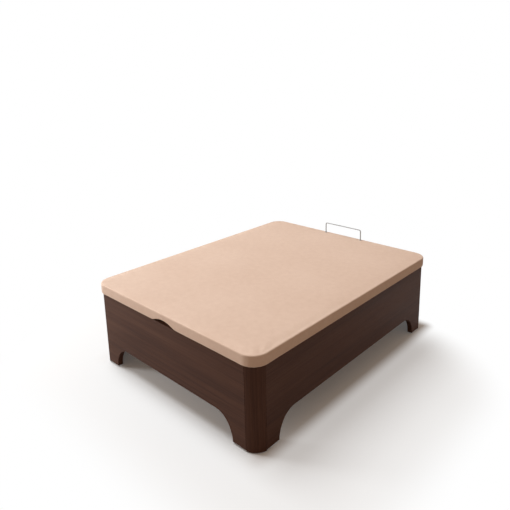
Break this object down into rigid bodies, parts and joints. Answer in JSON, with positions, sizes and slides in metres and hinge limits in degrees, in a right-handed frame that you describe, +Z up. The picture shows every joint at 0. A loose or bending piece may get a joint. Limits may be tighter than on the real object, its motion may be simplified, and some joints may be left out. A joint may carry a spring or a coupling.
{
  "type": "lift-up storage bed base",
  "caption": "Wooden storage bed base on rounded corner legs, with a padded lid that lifts and tilts on gas-spring lift hinges and a wire bow that holds the mattress.",
  "frame": {"origin": "on the floor, under the middle of the bed base", "axes": "+X across the bed, +Y towards the head, +Z up"},
  "size_m": [1.5, 1.9, 0.668],
  "materials": {
    "beige_fabric": "matte woven",
    "dark_wood": "satin stain",
    "board": "matte",
    "pale_wood": "planed",
    "grey_wire": "satin",
    "chrome_rod": "polished",
    "black_steel": "powder coat",
    "dark_plastic": "moulded",
    "black_rubber": "matte",
    "zinc_steel": "zinc plated"
  },
  "bodies": {
    "box": {"base_pivot_pins": "zinc_steel", "base_pivot_spacers": "dark_plastic", "batten_screws": "zinc_steel", "beam_hangers": "black_steel", "corner_bolts": "zinc_steel", "corner_nuts": "zinc_steel", "corner_plate_foot_left": "black_steel", "corner_plate_foot_right": "black_steel", "corner_plate_head_left": "black_steel", "corner_plate_head_right": "black_steel", "corner_plate_screws": "zinc_steel", "corner_post_foot_left": "dark_wood", "corner_post_foot_right": "dark_wood", "corner_post_head_left": "dark_wood", "corner_post_head_right": "dark_wood", "cross_beam_foot": "pale_wood", "cross_beam_head": "pale_wood", "cross_beam_middle": "pale_wood", "floor_board_foot": "board", "floor_board_head": "board", "foot_batten": "pale_wood", "foot_panel": "dark_wood", "head_batten": "pale_wood", "head_panel": "dark_wood", "hinge_plate_screws": "zinc_steel", "left_batten": "pale_wood", "left_hinge_plate": "black_steel", "left_panel": "dark_wood", "post_glides": "dark_plastic", "right_batten": "pale_wood", "right_hinge_plate": "black_steel", "right_panel": "dark_wood", "rim_bumpers": "black_rubber", "spring_base_studs": "zinc_steel"},
    "lid": {"bow_sockets": "grey_wire", "left_lid_bracket": "black_steel", "lid_board": "board", "lid_border": "beige_fabric", "lid_bracket_screws": "zinc_steel", "lid_corner_blocks": "pale_wood", "lid_cross_rails": "pale_wood", "lid_pivot_pins": "zinc_steel", "lid_pivot_spacers": "dark_plastic", "lid_rail_foot": "pale_wood", "lid_rail_head": "pale_wood", "lid_rail_left": "pale_wood", "lid_rail_right": "pale_wood", "lid_top_pad": "beige_fabric", "mattress_bow": "grey_wire", "right_lid_bracket": "black_steel"},
    "front_arms": {"left_front_arm": "black_steel", "right_front_arm": "black_steel", "spring_arm_studs": "zinc_steel"},
    "gas_rods": {"left_gas_rod": "chrome_rod", "right_gas_rod": "chrome_rod"},
    "gas_tubes": {"left_gas_tube": "black_steel", "right_gas_tube": "black_steel"},
    "rear_arms": {"left_rear_arm": "black_steel", "right_rear_arm": "black_steel"}
  },
  "joints": [
    {"name": "rear_arms_swing", "type": "hinge", "parent": "box", "child": "rear_arms", "pos_m": [0, 0.672, 0.442], "axis": [1, 0, 0], "range_deg": [0, 49.83]},
    {"name": "lid_tilt", "type": "hinge", "parent": "rear_arms", "child": "lid", "pos_m": [0, 0.836, 0.483], "axis": [-1, 0, 0], "range_deg": [0, 91.83]},
    {"name": "front_arms_swing", "type": "hinge", "parent": "box", "child": "front_arms", "pos_m": [0, 0.459, 0.283], "axis": [1, 0, 0], "range_deg": [0, 28.81]},
    {"name": "gas_tubes_swing", "type": "hinge", "parent": "box", "child": "gas_tubes", "pos_m": [0, 0.70845, 0.20968], "axis": [1, 0, 0], "range_deg": [0, 14.41]},
    {"name": "gas_rods_swing", "type": "hinge", "parent": "front_arms", "child": "gas_rods", "pos_m": [0, 0.69722, 0.38718], "axis": [-1, 0, 0], "range_deg": [0, 14.41]}
  ],
  "couplings": [
    {"joint": "rear_arms_swing", "follows": "lid_tilt", "ratio": 0.54264},
    {"joint": "front_arms_swing", "follows": "lid_tilt", "ratio": 0.31373},
    {"joint": "gas_tubes_swing", "follows": "lid_tilt", "ratio": 0.15687},
    {"joint": "gas_rods_swing", "follows": "lid_tilt", "ratio": 0.15687}
  ]
}
